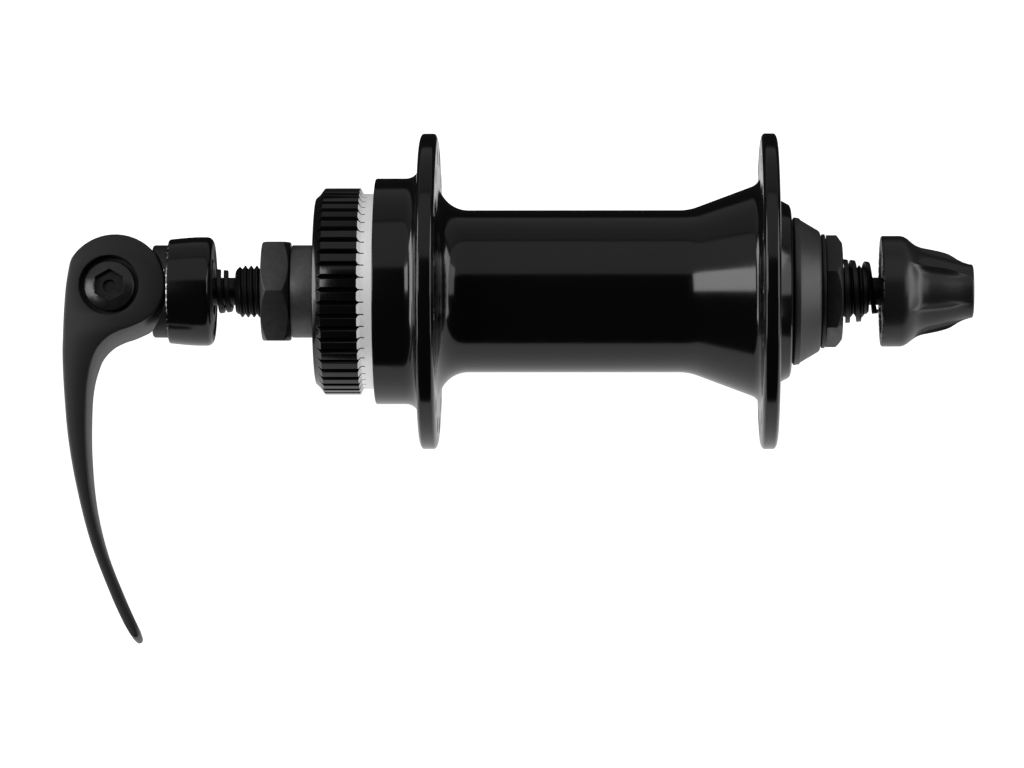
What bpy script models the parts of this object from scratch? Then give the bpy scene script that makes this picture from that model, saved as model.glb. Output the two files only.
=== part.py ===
"""Quick-release front bicycle hub with a splined disc mount, as separate pieces.

The wheel axis is X: the lever is at -X and the acorn nut at +X. Z is up and the
origin is on the axis, midway between the outer faces of the two locknuts.
"""
from math import ceil, cos, pi, radians, sin, sqrt, tan

import bmesh
import bpy
from mathutils import Matrix, Vector

MM = 0.001

# Hub shell, in millimetres: x along the axis, r from it.
FLANGE_R = 27.24
BARREL_R = 14.0
CONE_ANGLE = 20.5
CONE_START_X = 23.6
LEFT_FLANGE_X = (-22.8, -19.6)
RIGHT_FLANGE_X = (35.9, 38.9)
SHOULDER_R = 19.5
SEAT_FACE_X = -30.4
SEAT_R = 16.86
SPLINE_X = (-40.7, -33.0)
SPLINE_CROWN_R = 17.82
SPLINE_ROOT_R = 16.7
SPLINE_COUNT = 50
BOSS_END_X = 41.2
RECESS_R = 14.5
RECESS_FLOOR_X = -34.5
CUP_SEAT_R = 12.45
SHOULDER_BORE_R = 9.5
CHAMBER_R = 11.0
SPOKE_HOLES = 16
SPOKE_CIRCLE_R = 23.5
SPOKE_HOLE_R = 1.3

# Cup and cone bearings.
BALL_R = 2.38125
BALL_CIRCLE_R = 8.1
BALL_COUNT = 10
BALL_X = {"left": -28.5, "right": 35.3}
RACE_R = 2.55
CONE_BARREL_R = 7.9
CONE_END = {"left": 9.5, "right": 11.0}

# Axle and the pieces clamped on it.
AXLE_R = 4.5
AXLE_ROOT_R = 3.95
AXLE_BORE_R = 2.75
AXLE_END_X = 54.6
AXLE_PITCH = 1.0
NUT_BORE_R = 4.65
NUT_MOUTH_R = 5.65
NUT_FLATS = 17.0
LOCKNUT_LEFT_X = (-50.0, -45.1)
LOCKNUT_RIGHT_X = (47.2, 50.0)
SPACER_X = (-44.9, -38.2)
SPACER_R = 8.0
WASHER_X = (46.45, 47.05)
WASHER_R = 9.85

# Quick-release skewer.
SKEWER_ROLL = -10.0
ROD_R = 2.4
ROD_END_X = 70.8
ROD_EYE_R = 3.9
ROD_EYE_HALF = 2.8
PIVOT_X = -76.1
HEAD_X = -75.18
HEAD_Z = 0.15
HEAD_R = 8.78
HEAD_HALF = 6.25
ARM_TIP_HALF = 4.4
SLOT_HALF = 3.1
PIN_R = 2.4
PIN_HEAD_R = 4.4
PIN_POCKET_R = 5.1
SADDLE_X = (-68.9, -64.4)
SADDLE_R = 8.0
CUP_X = (-66.1, -58.4)
ROD_CLEAR_R = 2.9
ACORN_X = (56.7, 72.6)
ACORN_R = 9.55
ACORN_LOBES = 6
ACORN_RIDGE_ANGLE = 24.0

ROUND = 28


def material(obj, colour, roughness, metallic):
    """Give a piece its own material."""
    made = bpy.data.materials.new(obj.name + "_finish")
    made.use_nodes = True
    shader = made.node_tree.nodes["Principled BSDF"]
    shader.inputs["Base Color"].default_value = (*colour, 1.0)
    shader.inputs["Roughness"].default_value = roughness
    shader.inputs["Metallic"].default_value = metallic
    obj.data.materials.clear()
    obj.data.materials.append(made)


BLACK_ANODISED = ((0.012, 0.012, 0.013), 0.35, 0.6)
BLACK_STEEL = ((0.05, 0.05, 0.052), 0.42, 0.8)
BRIGHT_STEEL = ((0.6, 0.6, 0.6), 0.25, 1.0)
BLACK_PLASTIC = ((0.015, 0.015, 0.016), 0.6, 0.0)
BLACK_GLOSS = ((0.008, 0.008, 0.008), 0.18, 0.2)


def finish(obj, look, smooth_angle=35.0):
    """Shade a piece by angle and give it its finish."""
    obj.data.polygons.foreach_set("use_smooth", [True] * len(obj.data.polygons))
    obj.data.set_sharp_from_angle(angle=radians(smooth_angle))
    material(obj, *look)
    return obj


def mesh_object(name, points, faces):
    """Make a mesh object from points in millimetres, its faces turned outward."""
    mesh = bpy.data.meshes.new(name)
    mesh.from_pydata([Vector(p) * MM for p in points], [], faces)
    work = bmesh.new()
    work.from_mesh(mesh)
    bmesh.ops.remove_doubles(work, verts=work.verts, dist=1e-7)
    bmesh.ops.recalc_face_normals(work, faces=work.faces)
    work.to_mesh(mesh)
    work.free()
    obj = bpy.data.objects.new(name, mesh)
    bpy.context.scene.collection.objects.link(obj)
    return obj


def ring_point(x, r, angle):
    """A point at x and r, turned about the X axis by the angle in radians."""
    return (x, r * cos(angle), r * sin(angle))


def lathe(name, outline, segments=ROUND, start=0.0):
    """Turn a closed outline of (x, r) points about the X axis."""
    count = len(outline)
    points = []
    for step in range(segments):
        angle = start + 2 * pi * step / segments
        points += [ring_point(x, r, angle) for x, r in outline]
    faces = []
    for step in range(segments):
        near = step * count
        far = (step + 1) % segments * count
        for k in range(count):
            after = (k + 1) % count
            if outline[k][1] == 0 and outline[after][1] == 0:
                continue
            if outline[k][1] == 0:
                faces.append((near + k, near + after, far + after))
            elif outline[after][1] == 0:
                faces.append((near + k, near + after, far + k))
            else:
                faces.append((near + k, near + after, far + after, far + k))
    return mesh_object(name, points, faces)


def arc(x, r, radius, first, last, steps, radial=None):
    """Points of an arc or ellipse about (x, r), angles in degrees."""
    high = radius if radial is None else radial
    angles = [radians(first + (last - first) * k / steps) for k in range(steps + 1)]
    return [(x + radius * cos(a), r + high * sin(a)) for a in angles]


def prism(name, outline, low, high, axis="Y"):
    """Extrude a closed outline between two heights along Y or X."""
    def place(u, v, w):
        return (u, w, v) if axis == "Y" else (w, u, v)

    count = len(outline)
    points = [place(u, v, w) for w in (low, high) for u, v in outline]
    faces = [tuple(range(count)), tuple(range(2 * count - 1, count - 1, -1))]
    for k in range(count):
        after = (k + 1) % count
        faces.append((k, after, count + after, count + k))
    return mesh_object(name, points, faces)


def circle(u, v, radius, steps, turn=0.0):
    """A closed outline round (u, v)."""
    angles = [turn + 2 * pi * k / steps for k in range(steps)]
    return [(u + radius * cos(a), v + radius * sin(a)) for a in angles]


def combine(obj, other, operation):
    """Apply a Boolean with another object, then remove the other."""
    other.hide_render = True
    other.display_type = "WIRE"
    step = obj.modifiers.new(operation, "BOOLEAN")
    step.operation = operation
    step.solver = "EXACT"
    step.object = other
    bpy.context.view_layer.objects.active = obj
    bpy.ops.object.modifier_apply(modifier=step.name)
    bpy.data.objects.remove(other)
    return obj


def cut(obj, *cutters):
    """Take each cutter out of the object."""
    for cutter in cutters:
        combine(obj, cutter, "DIFFERENCE")
    return obj


def smooth_path(knots, steps):
    """A curve through the knots, with straight-chord weights."""
    points = []
    ends = [knots[0], *knots, knots[-1]]
    for k in range(1, len(ends) - 2):
        a, b, c, d = (Vector(p) for p in ends[k - 1:k + 3])
        for step in range(steps):
            t = step / steps
            lead = (c - a) * 0.5
            trail = (d - b) * 0.5
            point = (2 * t**3 - 3 * t**2 + 1) * b + (t**3 - 2 * t**2 + t) * lead
            point += (3 * t**2 - 2 * t**3) * c + (t**3 - t**2) * trail
            points.append(tuple(point))
    points.append(tuple(knots[-1]))
    return points


def shell_outline():
    """Outer surface of the hub shell from left to right, then its bores back."""
    slope = tan(radians(CONE_ANGLE))
    left_out, left_in = LEFT_FLANGE_X
    right_in, right_out = RIGHT_FLANGE_X
    outline = [
        (SPLINE_X[0], 15.8),
        (-39.9, SPLINE_ROOT_R),
        (-39.1, SPLINE_CROWN_R),
        (SPLINE_X[1], SPLINE_CROWN_R),
        (-32.7, 17.2),
        (-32.45, SEAT_R),
        (SEAT_FACE_X, SEAT_R),
        (SEAT_FACE_X, SHOULDER_R - 0.3),
        (SEAT_FACE_X + 0.3, SHOULDER_R),
    ]
    outline += arc(left_out - 2.4, SHOULDER_R + 2.4, 2.4, -90, 0, 3)
    outline += arc(left_out + 0.75, 25.34, 0.75, 180, 90, 3, FLANGE_R - 25.34)
    outline += arc(left_in - 0.75, 25.34, 0.75, 90, 0, 3, FLANGE_R - 25.34)
    outline += arc(left_in + 5.2, BARREL_R + 5.2, 5.2, 180, 270, 5)
    outline.append((CONE_START_X, BARREL_R))
    tangent_x = right_in - 2.2 + 2.2 * sin(radians(CONE_ANGLE))
    tangent_r = BARREL_R + (tangent_x - CONE_START_X) * slope
    centre_r = tangent_r + 2.2 * cos(radians(CONE_ANGLE))
    outline += arc(right_in - 2.2, centre_r, 2.2, CONE_ANGLE - 90, 0, 3)
    outline += arc(right_in + 0.75, 25.34, 0.75, 180, 90, 3, FLANGE_R - 25.34)
    outline += arc(right_out - 0.75, 25.34, 0.75, 90, 0, 3, FLANGE_R - 25.34)
    outline += [(right_out, 16.2), (right_out + 0.4, 15.75), (BOSS_END_X - 0.3, 14.9)]
    outline += [(BOSS_END_X, 14.1), (BOSS_END_X, CUP_SEAT_R), (31.2, CUP_SEAT_R)]
    outline += [(31.2, SHOULDER_BORE_R), (28.8, SHOULDER_BORE_R), (27.3, CHAMBER_R)]
    outline += [(-20.5, CHAMBER_R), (-22.0, SHOULDER_BORE_R), (-24.4, SHOULDER_BORE_R)]
    outline += [(-24.4, CUP_SEAT_R), (RECESS_FLOOR_X, CUP_SEAT_R)]
    outline += [(RECESS_FLOOR_X, RECESS_R), (SPLINE_X[0] + 0.4, RECESS_R)]
    outline.append((SPLINE_X[0], RECESS_R + 0.35))
    return outline


def spline_grooves():
    """Fifty wedge-shaped grooves along the disc mount, as one cutter."""
    points = []
    faces = []
    deep, out = SPLINE_ROOT_R, SPLINE_CROWN_R + 0.8
    low, high = SPLINE_X[0] - 1.0, SPLINE_X[1] + 1.2
    for k in range(SPLINE_COUNT):
        middle = 2 * pi * k / SPLINE_COUNT
        base = len(points)
        for x in (low, high):
            for r, half in ((deep, 0.08), (deep, -0.08), (out, -0.7), (out, 0.7)):
                points.append(ring_point(x, r, middle + half / r))
        faces += [(base, base + 1, base + 2, base + 3)]
        faces += [(base + 7, base + 6, base + 5, base + 4)]
        for j in range(4):
            after = (j + 1) % 4
            faces.append((base + j, base + after, base + 4 + after, base + 4 + j))
    return mesh_object("groove_cutter", points, faces)


def spoke_hole_cutter(low, high, turn):
    """Holes for the spokes of one flange, as one cutter."""
    points = []
    faces = []
    for k in range(SPOKE_HOLES):
        angle = 2 * pi * (k + turn) / SPOKE_HOLES
        centre = (SPOKE_CIRCLE_R * cos(angle), SPOKE_CIRCLE_R * sin(angle))
        rim = circle(*centre, SPOKE_HOLE_R, 8)
        base = len(points)
        points += [(x, u, v) for x in (low, high) for u, v in rim]
        faces.append(tuple(range(base, base + 8)))
        faces.append(tuple(range(base + 15, base + 7, -1)))
        for j in range(8):
            after = (j + 1) % 8
            faces.append((base + j, base + after, base + 8 + after, base + 8 + j))
    return mesh_object("spoke_hole_cutter", points, faces)


def hub_shell():
    """One-piece shell with both flanges, the disc spline and its bores."""
    obj = lathe("hub_shell", shell_outline(), 40)
    left = spoke_hole_cutter(LEFT_FLANGE_X[0] - 1, LEFT_FLANGE_X[1] + 1, 0.5)
    right = spoke_hole_cutter(RIGHT_FLANGE_X[0] - 1, RIGHT_FLANGE_X[1] + 1, 0.0)
    cut(obj, spline_grooves(), left, right)
    return finish(obj, BLACK_ANODISED)


def outward(side, profile):
    """Place a profile, given by its distance outward from the ball centres."""
    sign = -1 if side == "left" else 1
    return [(BALL_X[side] + sign * u, r) for u, r in profile]


def bearing_cup(side):
    """Pressed-in race that turns with the shell."""
    race = arc(0, BALL_CIRCLE_R, RACE_R, 90, 172, 5)
    profile = [(-4.0, 12.3), (4.1, 12.3), (4.1, 10.65), *race, (-4.0, 8.2)]
    obj = lathe("bearing_cup_" + side, outward(side, profile))
    return finish(obj, BRIGHT_STEEL)


def bearing_cone(side):
    """Threaded cone that stays still on the axle."""
    race = arc(0, BALL_CIRCLE_R, RACE_R, 262, 354, 5)
    end = CONE_END[side]
    profile = [(-1.6, NUT_BORE_R), (-1.6, 5.4), *race, (2.9, CONE_BARREL_R)]
    profile += [(end, CONE_BARREL_R), (end, NUT_BORE_R)]
    obj = lathe("cone_" + side, outward(side, profile))
    return finish(obj, BLACK_STEEL)


def dust_shield(side):
    """Thin ring that closes the bearing and turns with the shell."""
    profile = [(4.35, 8.5), (4.35, 12.25), (5.6, 12.25), (5.6, 11.8), (5.0, 11.4), (5.0, 8.5)]
    obj = lathe("dust_shield_" + side, outward(side, profile))
    return finish(obj, BLACK_PLASTIC)


def balls(side):
    """Ten loose balls of one bearing, each a piece of its own."""
    made = []
    for k in range(BALL_COUNT):
        angle = 2 * pi * k / BALL_COUNT
        name = "ball_{}_{:02d}".format(side, k + 1)
        mesh = bpy.data.meshes.new(name)
        work = bmesh.new()
        bmesh.ops.create_icosphere(work, subdivisions=2, radius=BALL_R * MM)
        place = Vector(ring_point(BALL_X[side], BALL_CIRCLE_R, angle)) * MM
        bmesh.ops.translate(work, verts=work.verts, vec=place)
        work.to_mesh(mesh)
        work.free()
        obj = bpy.data.objects.new(name, mesh)
        bpy.context.scene.collection.objects.link(obj)
        made.append(finish(obj, BRIGHT_STEEL))
    return made


def axle():
    """Hollow axle with thread ridges at both open ends."""
    first = AXLE_END_X - 0.7
    ridges = []
    for k in range(4):
        crest = first - 0.1 - k * AXLE_PITCH
        ridges += [(crest, AXLE_R), (crest - 0.2, AXLE_R), (crest - 0.6, AXLE_ROOT_R)]
    half = [(AXLE_END_X, AXLE_BORE_R), (AXLE_END_X, 3.7), (first, AXLE_ROOT_R + 0.3)]
    half += ridges + [(first - 4.3, AXLE_R)]
    mirrored = [(-x, r) for x, r in reversed(half)]
    obj = lathe("axle", half + mirrored, 24)
    return finish(obj, BLACK_STEEL)


def hex_nut(name, span, turn, chamfers):
    """Hexagonal locknut with turned chamfers at the chosen ends."""
    low, high = span
    corner = NUT_FLATS / sqrt(3) + 0.02
    face = NUT_FLATS / 2 - 0.15
    rise = (corner - face) * 0.7
    outline = [(low + 0.3, NUT_BORE_R), (low, NUT_MOUTH_R)]
    outline += [(low, face), (low + rise, corner)] if chamfers[0] else [(low, corner)]
    outline += [(high - rise, corner), (high, face)] if chamfers[1] else [(high, corner)]
    outline += [(high, NUT_MOUTH_R), (high - 0.3, NUT_BORE_R)]
    obj = lathe(name, outline)
    hexagon = circle(0, 0, NUT_FLATS / sqrt(3), 6, radians(turn))
    combine(obj, prism("hexagon", hexagon, low - 1, high + 1, "X"), "INTERSECT")
    return finish(obj, BLACK_STEEL, 20.0)


def spacer_left():
    """Plain barrel between the left cone and locknut."""
    low, high = SPACER_X
    outline = [(low, NUT_BORE_R), (low, SPACER_R - 0.25), (low + 0.25, SPACER_R)]
    outline += [(high - 0.1, SPACER_R), (high, SPACER_R - 0.1), (high, NUT_BORE_R)]
    return finish(lathe("spacer_left", outline), BLACK_STEEL)


def washer_right():
    """Flat washer under the right locknut."""
    low, high = WASHER_X
    outline = [(low, NUT_BORE_R), (low, WASHER_R), (high, WASHER_R), (high, NUT_BORE_R)]
    return finish(lathe("washer_right", outline), BLACK_STEEL)


def seal_cap_right():
    """Conical cover that sits still on the right cone."""
    outline = [(41.5, 8.15), (41.5, 12.55), (41.75, 12.8), (42.7, 12.6), (42.9, 12.3)]
    outline += [(45.9, 10.5), (46.15, 10.2), (46.3, 9.7), (46.3, 8.15)]
    return finish(lathe("seal_cap_right", outline, 40), BLACK_PLASTIC)


def skewer_rod():
    """Rod through the axle with the eye that takes the pivot pin."""
    outline = [(PIVOT_X, 0), (PIVOT_X, ROD_R), (ROD_END_X - 0.5, ROD_R), (ROD_END_X, 1.9)]
    outline.append((ROD_END_X, 0))
    obj = lathe("skewer_rod", outline, 24)
    eye = circle(PIVOT_X, 0, ROD_EYE_R, 32)
    combine(obj, prism("eye", eye, -ROD_EYE_HALF, ROD_EYE_HALF), "UNION")
    bore = circle(PIVOT_X, 0, PIN_R + 0.15, 32)
    cut(obj, prism("eye_bore", bore, -9, 9))
    return finish(obj, BLACK_STEEL)


def arm_outline():
    """Lever seen along its pivot: cam head, curved arm and tapering tip."""
    left = [(-82.95, 3.9), (-83.33, 1.6), (-83.6, -0.8), (-83.8, -4.5), (-83.9, -8.5)]
    left += [(-83.9, -12.6), (-83.45, -19.5), (-82.65, -27.0), (-81.1, -35.2)]
    left += [(-78.6, -44.5), (-75.05, -53.5), (-72.75, -58.4)]
    tip = [(-71.75, -60.1), (-71.0, -60.85), (-70.3, -60.7), (-70.15, -60.0)]
    right = [(-70.65, -58.6), (-73.1, -53.4), (-76.4, -45.3), (-78.5, -37.0), (-79.5, -28.0)]
    right += [(-79.65, -20.0), (-79.3, -15.6), (-78.4, -12.2), (-77.5, -10.5)]
    right += [(-76.05, -9.05), (-74.2, -8.05), (-72.3, -7.4), (-70.2, -6.45)]
    outline = smooth_path(left, 2) + tip + smooth_path(right, 2)
    return outline + arc(HEAD_X, HEAD_Z, HEAD_R, -35, 148, 20)


def lever():
    """Cam lever: eccentric head with a slot for the rod, and the curved arm."""
    obj = prism("lever", arm_outline(), -HEAD_HALF, HEAD_HALF)
    step = obj.modifiers.new("edges", "BEVEL")
    step.width = 0.55 * MM
    step.segments = 1
    step.limit_method = "ANGLE"
    step.angle_limit = radians(60)
    bpy.context.view_layer.objects.active = obj
    bpy.ops.object.modifier_apply(modifier=step.name)
    for vert in obj.data.vertices:
        share = min(max((-vert.co.z / MM - 14.0) / 46.0, 0.0), 1.0)
        vert.co.y *= 1 + (ARM_TIP_HALF / HEAD_HALF - 1) * share
    slot = [(-90, -2.9), (-60, -2.9), (-60, 12), (-90, 12)]
    cut(obj, prism("slot", slot, -SLOT_HALF, SLOT_HALF))
    cut(obj, prism("eye_room", circle(PIVOT_X, 0, 4.4, 32), -SLOT_HALF + 0.01, SLOT_HALF - 0.01))
    cut(obj, prism("pin_bore", circle(PIVOT_X, 0, PIN_R + 0.12, 32), -9, 9))
    cut(obj, prism("pin_pocket", circle(PIVOT_X, 0, PIN_POCKET_R, 36), -9, -4.1))
    return finish(obj, BLACK_ANODISED, 30.0)


def pivot_pin():
    """Socket-headed screw across the lever head."""
    outline = [(-6.0, 0), (-6.0, 3.0), (-5.6, PIN_HEAD_R - 0.1), (-5.5, PIN_HEAD_R)]
    outline += [(-4.3, PIN_HEAD_R), (-4.3, PIN_R), (5.9, PIN_R), (6.1, PIN_R - 0.2), (6.1, 0)]
    obj = lathe("pivot_pin", outline, 32)
    obj.data.transform(Matrix.Rotation(pi / 2, 4, "Z"))
    obj.data.transform(Matrix.Translation(Vector((PIVOT_X * MM, 0, 0))))
    socket = circle(PIVOT_X, 0, 5.0 / sqrt(3), 6, pi / 2)
    cut(obj, prism("socket", socket, -7, -4.8))
    cut(obj, prism("drill_point", circle(PIVOT_X, 0, 1.2, 16), -6, -4.0))
    return finish(obj, BLACK_STEEL)


def clamp_saddle():
    """Bearing block with the hollow that the lever head rolls in."""
    low, high = SADDLE_X
    outline = [(low, ROD_CLEAR_R), (low, SADDLE_R - 0.3), (low + 0.3, SADDLE_R)]
    outline += [(high, SADDLE_R), (high, ROD_CLEAR_R)]
    obj = lathe("clamp_saddle", outline)
    low_z, reach = HEAD_Z - 1.1, HEAD_R + 0.4
    hollow = [(HEAD_X + reach * cos(a), HEAD_Z + reach * sin(a)) for a in spread(0, pi, 16)]
    hollow += [(HEAD_X + reach * cos(a), low_z + reach * sin(a)) for a in spread(pi, 2 * pi, 16)]
    cut(obj, prism("hollow", hollow, -12, 12))
    return finish(obj, BLACK_PLASTIC)


def spread(first, last, steps):
    """Evenly spaced values with both ends."""
    return [first + (last - first) * k / steps for k in range(steps + 1)]


def clamp_cup():
    """Round metal cup that holds the saddle and grips the dropout."""
    low, high = CUP_X
    outline = [(low, 8.3), (low, 8.8), (low + 0.2, 9.0), (-63.5, 9.25), (-61.0, 9.4)]
    outline += arc(high - 1.2, 8.2, 1.2, 90, 0, 4)
    outline += [(high, 4.2), (high - 0.35, 3.9), (high - 0.35, ROD_CLEAR_R)]
    outline += [(low + 1.9, ROD_CLEAR_R), (low + 1.9, 8.3)]
    return finish(lathe("clamp_cup", outline), BLACK_GLOSS)


def spring(name, span, outer, turns, wire, gather=1.0):
    """Conical spring of flat wire; outer(x) is its outside radius at x."""
    low, high = span
    thick, deep = wire
    steps = ceil(turns * 20)
    points = []
    for k in range(steps + 1):
        x = low + thick / 2 + (high - low - thick) * (k / steps) ** gather
        angle = 2 * pi * turns * k / steps
        r = outer(x)
        for u, v in ((-0.5, 0), (0.5, 0), (0.5, -1), (-0.5, -1)):
            points.append(ring_point(x + u * thick, r + v * deep, angle))
    faces = [(0, 1, 2, 3), tuple(len(points) - 4 + j for j in (3, 2, 1, 0))]
    for k in range(steps):
        for j in range(4):
            after = (j + 1) % 4
            base = 4 * k
            faces.append((base + j, base + after, base + 4 + after, base + 4 + j))
    return finish(mesh_object(name, points, faces), BLACK_STEEL)


def left_spring_outer(x):
    """Outside radius of the left spring: wide at the cup."""
    return 3.95 - 0.45 * (x - CUP_X[1]) / 3.6


def right_spring_outer(x):
    """Outside radius of the right spring: wide round the axle end."""
    if x < AXLE_END_X + 0.2:
        return 5.6 - 0.5 * (x - LOCKNUT_RIGHT_X[1]) / 4.8
    return max(3.85, 5.1 - 2.0 * (x - AXLE_END_X - 0.2))


def acorn_nut():
    """Tapered thumb nut: round base, six hollow faces and sharp ridges."""
    stations = [(0.0, 9.2, 9.2), (0.25, ACORN_R, ACORN_R), (3.5, ACORN_R, ACORN_R)]
    stations += [(4.4, 9.2, 9.2), (5.3, 8.5, 8.45), (6.1, 7.95, 7.4), (7.2, 7.6, 6.75)]
    stations += [(9.4, 7.2, 6.15), (11.8, 6.5, 5.5), (14.0, 5.15, 4.85), (15.5, 4.65, 4.65)]
    stations += [(15.9, 4.3, 4.3)]
    segments = 8 * ACORN_LOBES
    points = []
    for along, ridge, hollow in stations:
        for k in range(segments):
            share = abs((k / 8) % 1 - 0.5) * 2
            r = hollow + (ridge - hollow) * share**3
            angle = 2 * pi * k / segments - radians(ACORN_RIDGE_ANGLE)
            points.append((ACORN_X[0] + along, -r * cos(angle), -r * sin(angle)))
    faces = []
    for row in range(len(stations) - 1):
        for k in range(segments):
            after = (k + 1) % segments
            base, above = row * segments, (row + 1) * segments
            faces.append((base + k, base + after, above + after, above + k))
    faces.append(tuple(range(segments)))
    top = (len(stations) - 1) * segments
    faces.append(tuple(range(top + segments - 1, top - 1, -1)))
    obj = mesh_object("acorn_nut", points, faces)
    low = ACORN_X[0]
    bore = [(low - 1, 0), (low - 1, 5.0), (low, 5.0), (low + 0.8, 4.6), (low + 0.8, ROD_R + 0.15)]
    bore += [(low + 14.6, ROD_R + 0.15), (low + 14.9, 0)]
    cut(obj, lathe("nut_bore", bore, 24))
    return finish(obj, BLACK_ANODISED)


def set_origin(obj, x):
    """Move a piece's origin along the wheel axis without moving the piece."""
    obj.data.transform(Matrix.Translation(Vector((-x * MM, 0, 0))))
    obj.location.x = x * MM


def build():
    """Build every piece, then turn the skewer to its parked angle."""
    for old in list(bpy.data.objects):
        bpy.data.objects.remove(old)
    hub_shell()
    for side in ("left", "right"):
        bearing_cup(side)
        bearing_cone(side)
        dust_shield(side)
        balls(side)
    axle()
    spacer_left()
    washer_right()
    seal_cap_right()
    hex_nut("locknut_left", LOCKNUT_LEFT_X, 0.0, (True, True))
    hex_nut("locknut_right", LOCKNUT_RIGHT_X, 40.3, (False, True))
    skewer = bpy.data.objects.new("skewer_axis", None)
    bpy.context.scene.collection.objects.link(skewer)
    pieces = [skewer_rod(), clamp_cup(), clamp_saddle(), acorn_nut()]
    pieces.append(spring("spring_left", (CUP_X[1] + 0.25, -54.8), left_spring_outer, 1.8, (0.9, 0.9)))
    coil = spring("spring_right", (50.15, 56.5), right_spring_outer, 2.6, (0.9, 0.45), 1.6)
    pieces.append(coil)
    for obj in (lever(), pivot_pin()):
        set_origin(obj, PIVOT_X)
        pieces.append(obj)
    for obj in pieces:
        obj.parent = skewer
    skewer.rotation_euler.x = radians(SKEWER_ROLL)


build()
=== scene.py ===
"""Quick-release front bicycle hub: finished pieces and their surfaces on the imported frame.

Sizes in the classes are millimetres. x runs along the wheel axis towards the acorn nut
and r is the distance from that axis. Z is up and the lever hangs at -X.
"""

import logging
import math
from contextlib import contextmanager
from dataclasses import dataclass
from enum import Enum
from typing import Callable, Iterator

import bmesh
import bpy
from mathutils import Matrix, Vector

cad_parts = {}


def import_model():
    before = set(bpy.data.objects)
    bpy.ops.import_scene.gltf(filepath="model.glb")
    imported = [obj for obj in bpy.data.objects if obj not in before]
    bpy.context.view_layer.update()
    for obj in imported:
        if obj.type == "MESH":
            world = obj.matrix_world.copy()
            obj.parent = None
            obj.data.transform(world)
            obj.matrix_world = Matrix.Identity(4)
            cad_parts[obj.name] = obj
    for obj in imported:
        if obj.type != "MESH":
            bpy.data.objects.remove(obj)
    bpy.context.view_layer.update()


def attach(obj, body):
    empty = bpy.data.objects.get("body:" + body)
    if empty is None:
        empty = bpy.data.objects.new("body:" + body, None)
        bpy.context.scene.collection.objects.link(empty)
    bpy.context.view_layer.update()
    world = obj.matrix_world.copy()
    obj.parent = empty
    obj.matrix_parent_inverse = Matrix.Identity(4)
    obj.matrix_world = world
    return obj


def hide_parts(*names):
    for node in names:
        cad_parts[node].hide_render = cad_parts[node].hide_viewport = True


MM = 0.001
Profile = list[tuple[float, float]]
log = logging.getLogger("hub")


class Side(Enum):
    """The two ends of the hub."""

    LEFT = "left"
    RIGHT = "right"

    @property
    def sign(self) -> int:
        """Direction of this end along the wheel axis."""
        return -1 if self is Side.LEFT else 1


# ----------------------------------------------------------------- modelling


def only(obj: bpy.types.Object) -> None:
    """Select one object and make it active."""
    bpy.ops.object.select_all(action="DESELECT")
    obj.select_set(True)
    bpy.context.view_layer.objects.active = obj


@contextmanager
def editing(obj: bpy.types.Object) -> Iterator[bmesh.types.BMesh]:
    """Open an object in edit mode and close it again.

    Args:
        obj: The object to edit.

    Returns:
        Its edit mesh, for selecting by place.
    """
    only(obj)
    bpy.ops.object.mode_set(mode="EDIT")
    bpy.ops.mesh.select_mode(type="VERT")
    yield bmesh.from_edit_mesh(obj.data)
    bpy.ops.object.mode_set(mode="OBJECT")


def settle(obj: bpy.types.Object) -> bpy.types.Object:
    """Put an object's place, turn and scale into its mesh."""
    only(obj)
    bpy.ops.object.transform_apply(location=True, rotation=True, scale=True)
    return obj


def named(name: str) -> bpy.types.Object:
    """Name the object just added and settle it."""
    obj = bpy.context.object
    obj.name = obj.data.name = name
    return settle(obj)


def arc(x: float, r: float, radius: float, first: float, last: float, steps: int,
        radial: float | None = None) -> Profile:
    """Points of an arc or a half-squashed arc.

    Args:
        x: Centre along the axis.
        r: Centre's distance from the axis.
        radius: Radius along x.
        first: First angle in degrees.
        last: Last angle in degrees.
        steps: Number of chords.
        radial: Radius along r, the same as along x if left out.

    Returns:
        The points in order.
    """
    high = radius if radial is None else radial
    angles = [math.radians(first + (last - first) * k / steps) for k in range(steps + 1)]
    return [(x + radius * math.cos(a), r + high * math.sin(a)) for a in angles]


def turned(name: str, outline: Profile, sides: int) -> bpy.types.Object:
    """Turn an outline round the wheel axis, as on a lathe.

    Args:
        name: Name of the piece.
        outline: Its (x, r) points; one that starts and ends at r = 0 is solid.
        sides: Number of steps round.

    Returns:
        The closed piece.
    """
    only_axis = outline[0][1] == 0
    stops = outline[1:] if only_axis else [*outline[1:], outline[0]]
    x, r = outline[0]
    bpy.ops.object.select_all(action="DESELECT")
    bpy.ops.mesh.primitive_plane_add(size=MM, location=(x * MM, 0, r * MM))
    obj = named(name)
    with editing(obj):
        bpy.ops.mesh.select_all(action="SELECT")
        bpy.ops.mesh.merge(type="CENTER")
        for next_x, next_r in stops:
            step = ((next_x - x) * MM, 0, (next_r - r) * MM)
            bpy.ops.mesh.extrude_vertices_move(TRANSFORM_OT_translate={"value": step})
            x, r = next_x, next_r
        bpy.ops.mesh.select_all(action="SELECT")
        bpy.ops.mesh.remove_doubles(threshold=1e-7)
        bpy.ops.mesh.spin(steps=sides, angle=2 * math.pi, center=(0, 0, 0), axis=(1, 0, 0))
        bpy.ops.mesh.select_all(action="SELECT")
        bpy.ops.mesh.remove_doubles(threshold=1e-7)
        bpy.ops.mesh.normals_make_consistent(inside=False)
    return obj


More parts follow.
